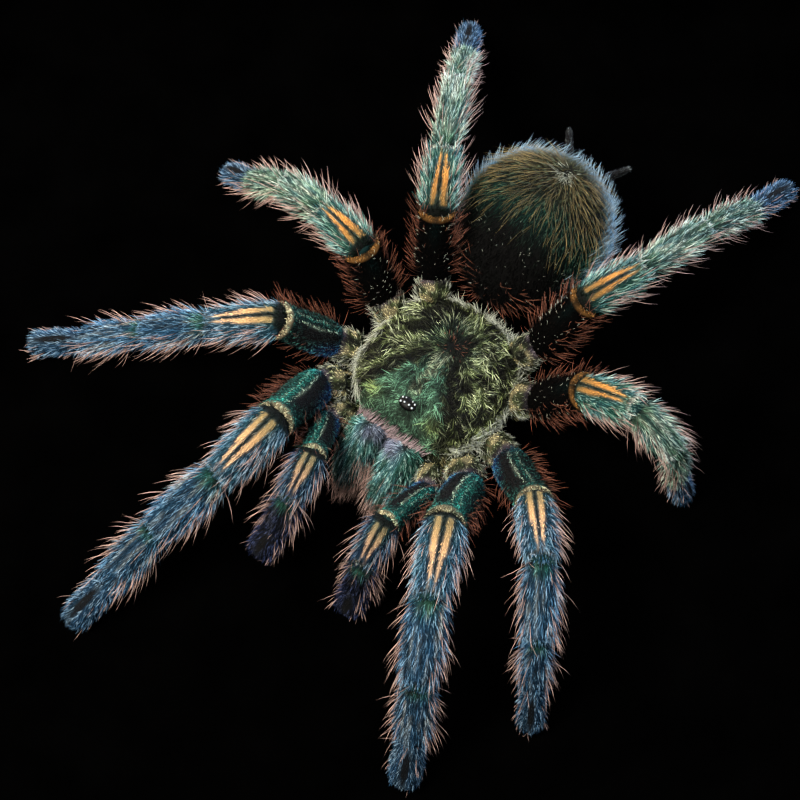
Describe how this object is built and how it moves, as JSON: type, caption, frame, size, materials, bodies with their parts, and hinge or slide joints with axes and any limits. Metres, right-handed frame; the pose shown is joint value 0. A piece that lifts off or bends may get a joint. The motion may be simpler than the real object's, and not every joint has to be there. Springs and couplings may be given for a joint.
{
  "type": "framed tarantula specimen",
  "caption": "Dried tarantula with spread legs, fixed on a black backing board in a plain, shallow, open black frame that lies flat or leans.",
  "frame": {"origin": "middle of the frame's underside", "axes": "+Z out of the backing board's face towards the viewer, +Y towards the back rail, +X towards the right rail; the spider's head points to the front left"},
  "size_m": [0.152, 0.152, 0.0336],
  "materials": {
    "frame_lacquer": "black lacquer, satin",
    "backing_felt": "black flocked card, matt",
    "carapace_pile": "chitin under short green and olive hair",
    "abdomen_pile": "skin under dense dark hair with a blue-grey rim",
    "coxa_pile": "chitin under pale yellow-green hair",
    "chelicera_pile": "chitin under short grey-teal hair",
    "spinneret_skin": "dark grey skin with fine hair",
    "front_femur_pile": "chitin with a metallic teal and blue pile",
    "rear_femur_pile": "velvety black pile",
    "patella_pile": "grey-teal pile with two cream and orange stripes",
    "shank_pile": "blue-grey pile with pale streaks",
    "foot_pile": "blue-grey velvet with a bare dark oval"
  },
  "bodies": {
    "root": {"frame_rail_front": "frame_lacquer", "frame_rail_right": "frame_lacquer", "frame_rail_back": "frame_lacquer", "frame_rail_left": "frame_lacquer", "backing_board": "backing_felt", "carapace": "carapace_pile", "abdomen": "abdomen_pile", "sternum_and_coxae": "coxa_pile", "chelicera_R": "chelicera_pile", "spinneret_R": "spinneret_skin", "chelicera_L": "chelicera_pile", "spinneret_L": "spinneret_skin", "leg_R1_femur": "front_femur_pile", "leg_R1_patella": "patella_pile", "leg_R1_tibia": "shank_pile", "leg_R1_metatarsus": "shank_pile", "leg_R1_tarsus": "foot_pile", "leg_R2_femur": "front_femur_pile", "leg_R2_patella": "patella_pile", "leg_R2_tibia": "shank_pile", "leg_R2_metatarsus": "shank_pile", "leg_R2_tarsus": "foot_pile", "leg_R3_femur": "rear_femur_pile", "leg_R3_patella": "patella_pile", "leg_R3_tibia": "shank_pile", "leg_R3_metatarsus": "shank_pile", "leg_R3_tarsus": "foot_pile", "leg_R4_femur": "rear_femur_pile", "leg_R4_patella": "patella_pile", "leg_R4_tibia": "shank_pile", "leg_R4_metatarsus": "shank_pile", "leg_R4_tarsus": "foot_pile", "leg_L1_femur": "front_femur_pile", "leg_L1_patella": "patella_pile", "leg_L1_tibia": "shank_pile", "leg_L1_metatarsus": "shank_pile", "leg_L1_tarsus": "foot_pile", "leg_L2_femur": "front_femur_pile", "leg_L2_patella": "patella_pile", "leg_L2_tibia": "shank_pile", "leg_L2_metatarsus": "shank_pile", "leg_L2_tarsus": "foot_pile", "leg_L3_femur": "rear_femur_pile", "leg_L3_patella": "patella_pile", "leg_L3_tibia": "shank_pile", "leg_L3_metatarsus": "shank_pile", "leg_L3_tarsus": "foot_pile", "leg_L4_femur": "rear_femur_pile", "leg_L4_patella": "patella_pile", "leg_L4_tibia": "shank_pile", "leg_L4_metatarsus": "shank_pile", "leg_L4_tarsus": "foot_pile", "palp_R_femur": "front_femur_pile", "palp_R_patella": "patella_pile", "palp_R_tibia": "shank_pile", "palp_R_tarsus": "foot_pile", "palp_L_femur": "front_femur_pile", "palp_L_patella": "patella_pile", "palp_L_tibia": "shank_pile", "palp_L_tarsus": "foot_pile"}
  },
  "joints": []
}
